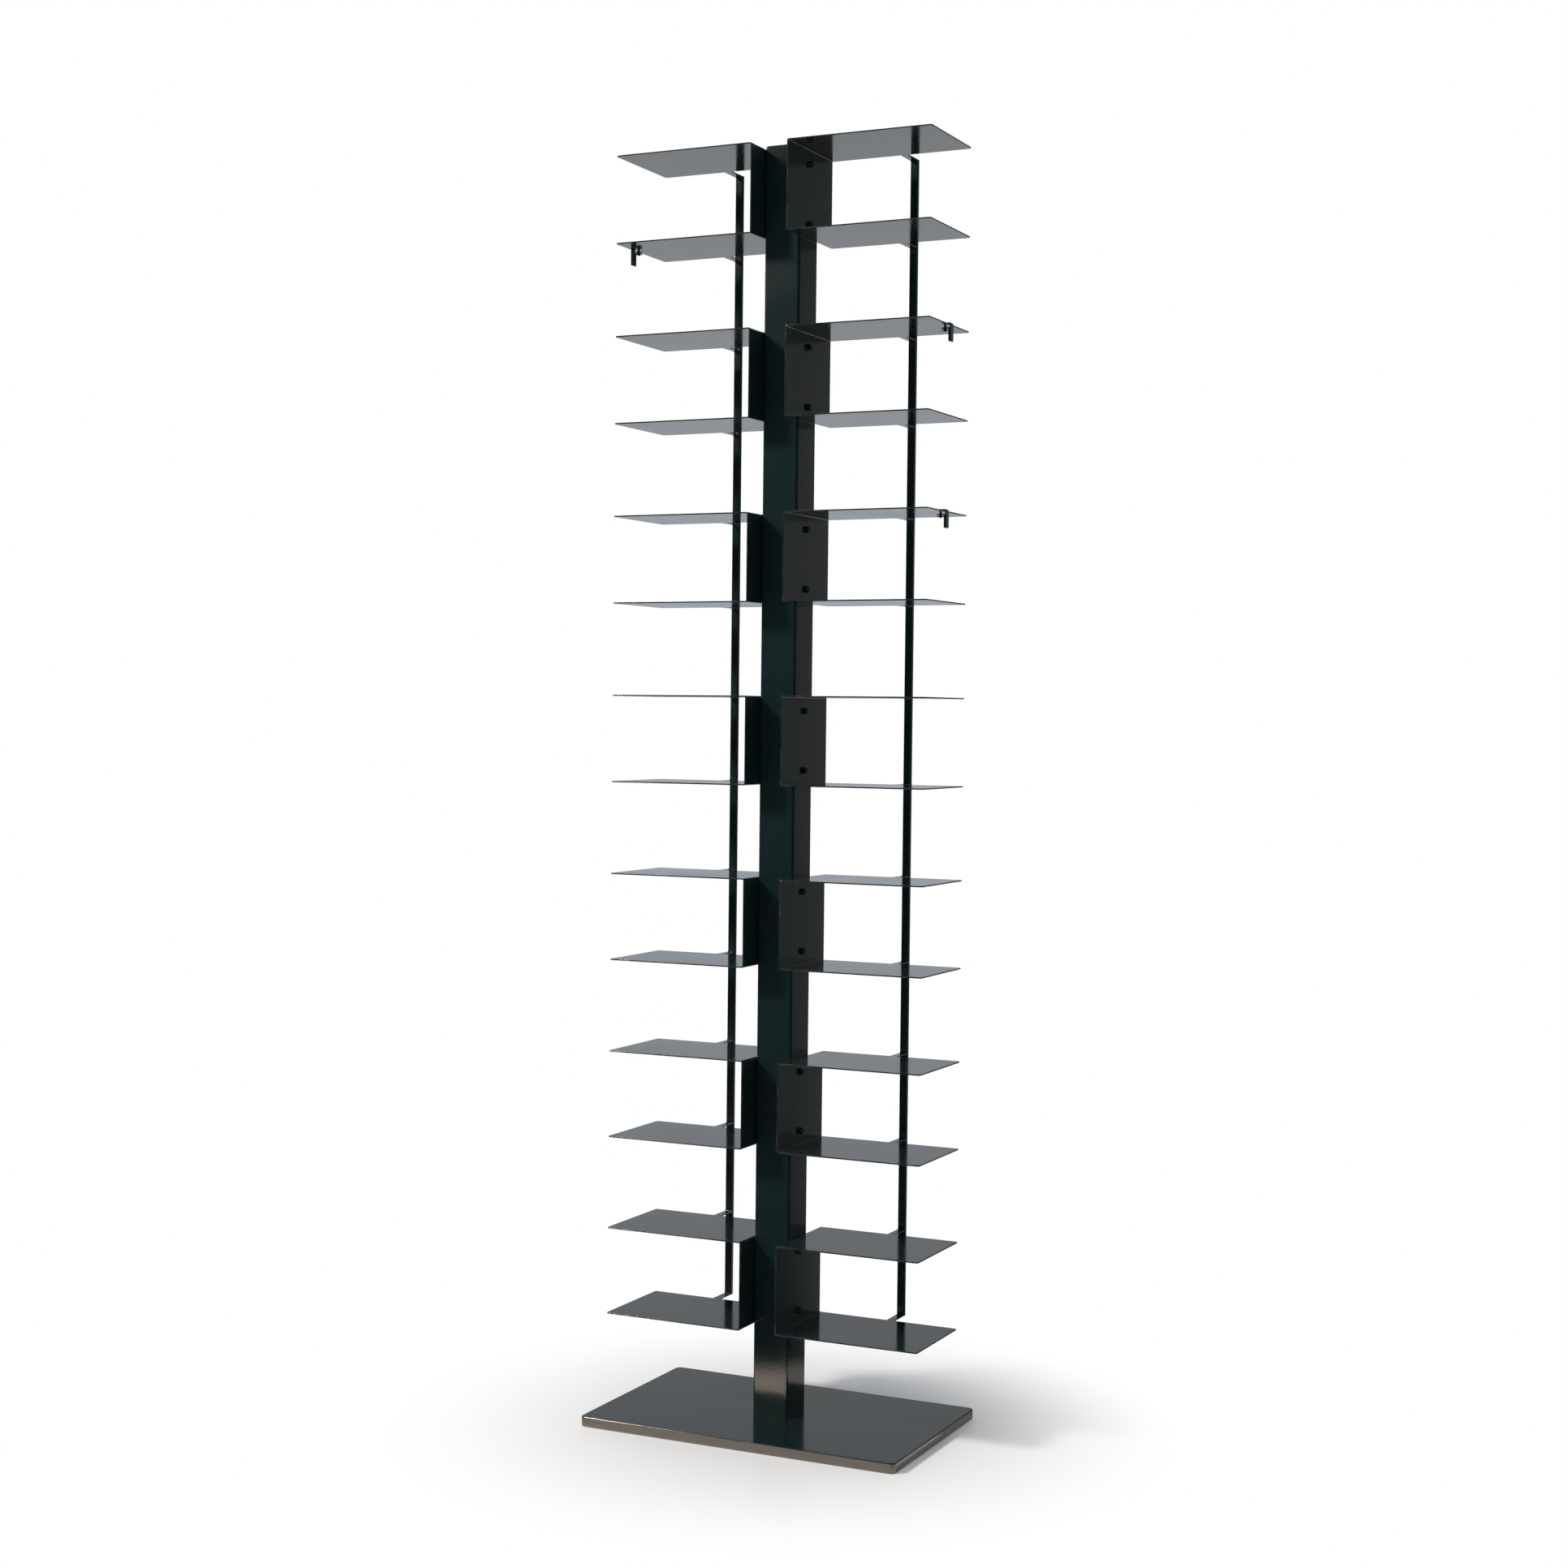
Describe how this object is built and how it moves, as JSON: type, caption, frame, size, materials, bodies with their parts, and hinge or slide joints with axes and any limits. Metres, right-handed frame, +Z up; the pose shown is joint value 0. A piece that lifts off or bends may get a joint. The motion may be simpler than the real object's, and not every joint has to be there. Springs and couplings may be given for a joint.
{
  "type": "spine bookshelf",
  "caption": "Tall free-standing steel book tower: a central spine on a flat base plate carries open shelf boxes and bays on both sides, with strip clips on plate edges.",
  "frame": {"origin": "on the floor under the middle of the base plate and spine", "axes": "+Z up, +X to the right seen from the front, -Y towards the front"},
  "size_m": [0.5244, 0.32, 1.9445],
  "materials": {
    "powder_coat": "semi-gloss black powder coat",
    "blackened_steel": "black oxide",
    "rubber": "matt"
  },
  "bodies": {
    "shelf": {"base_plate": "powder_coat", "glide_pad_front_left": "rubber", "glide_pad_front_right": "rubber", "glide_pad_rear_left": "rubber", "glide_pad_rear_right": "rubber", "base_screw_1": "blackened_steel", "base_screw_2": "blackened_steel", "base_screw_3": "blackened_steel", "base_screw_4": "blackened_steel", "spine_foot_plate": "powder_coat", "spine_tube": "powder_coat", "spine_cap": "powder_coat", "shelf_box_left_1": "powder_coat", "shelf_box_left_2": "powder_coat", "shelf_box_left_3": "powder_coat", "shelf_box_left_4": "powder_coat", "shelf_box_left_5": "powder_coat", "shelf_box_left_6": "powder_coat", "shelf_box_left_7": "powder_coat", "shelf_box_right_1": "powder_coat", "shelf_box_right_2": "powder_coat", "shelf_box_right_3": "powder_coat", "shelf_box_right_4": "powder_coat", "shelf_box_right_5": "powder_coat", "shelf_box_right_6": "powder_coat", "shelf_box_right_7": "powder_coat", "box_bolt_1_lower": "blackened_steel", "box_bolt_1_upper": "blackened_steel", "box_bolt_2_lower": "blackened_steel", "box_bolt_2_upper": "blackened_steel", "box_bolt_3_lower": "blackened_steel", "box_bolt_3_upper": "blackened_steel", "box_bolt_4_lower": "blackened_steel", "box_bolt_4_upper": "blackened_steel", "box_bolt_5_lower": "blackened_steel", "box_bolt_5_upper": "blackened_steel", "box_bolt_6_lower": "blackened_steel", "box_bolt_6_upper": "blackened_steel", "box_bolt_7_lower": "blackened_steel", "box_bolt_7_upper": "blackened_steel", "left_rear_bar": "powder_coat", "right_rear_bar": "powder_coat"},
    "clip_left": {"clip_left": "powder_coat"},
    "thumb_screw_left": {"thumb_screw_left": "blackened_steel"},
    "clip_right_upper": {"clip_right_upper": "powder_coat"},
    "thumb_screw_right_upper": {"thumb_screw_right_upper": "blackened_steel"},
    "clip_right_lower": {"clip_right_lower": "powder_coat"},
    "thumb_screw_right_lower": {"thumb_screw_right_lower": "blackened_steel"}
  },
  "joints": [
    {"name": "clip_left_slide", "type": "slide", "parent": "shelf", "child": "clip_left", "axis": [0, 1, 0], "range_m": [-0.048, 0.094]},
    {"name": "thumb_screw_left_turn", "type": "hinge", "parent": "clip_left", "child": "thumb_screw_left", "pos_m": [-0.251, -0.023, 1.8025], "axis": [0, 0, -1], "range_deg": [0, 1080]},
    {"name": "clip_right_upper_slide", "type": "slide", "parent": "shelf", "child": "clip_right_upper", "axis": [0, 1, 0], "range_m": [-0.075, 0.067]},
    {"name": "thumb_screw_right_upper_turn", "type": "hinge", "parent": "clip_right_upper", "child": "thumb_screw_right_upper", "pos_m": [0.251, 0.004, 1.6605], "axis": [0, 0, -1], "range_deg": [0, 1080]},
    {"name": "clip_right_lower_slide", "type": "slide", "parent": "shelf", "child": "clip_right_lower", "axis": [0, 1, 0], "range_m": [-0.066, 0.076]},
    {"name": "thumb_screw_right_lower_turn", "type": "hinge", "parent": "clip_right_lower", "child": "thumb_screw_right_lower", "pos_m": [0.251, -0.005, 1.3855], "axis": [0, 0, -1], "range_deg": [0, 1080]}
  ]
}
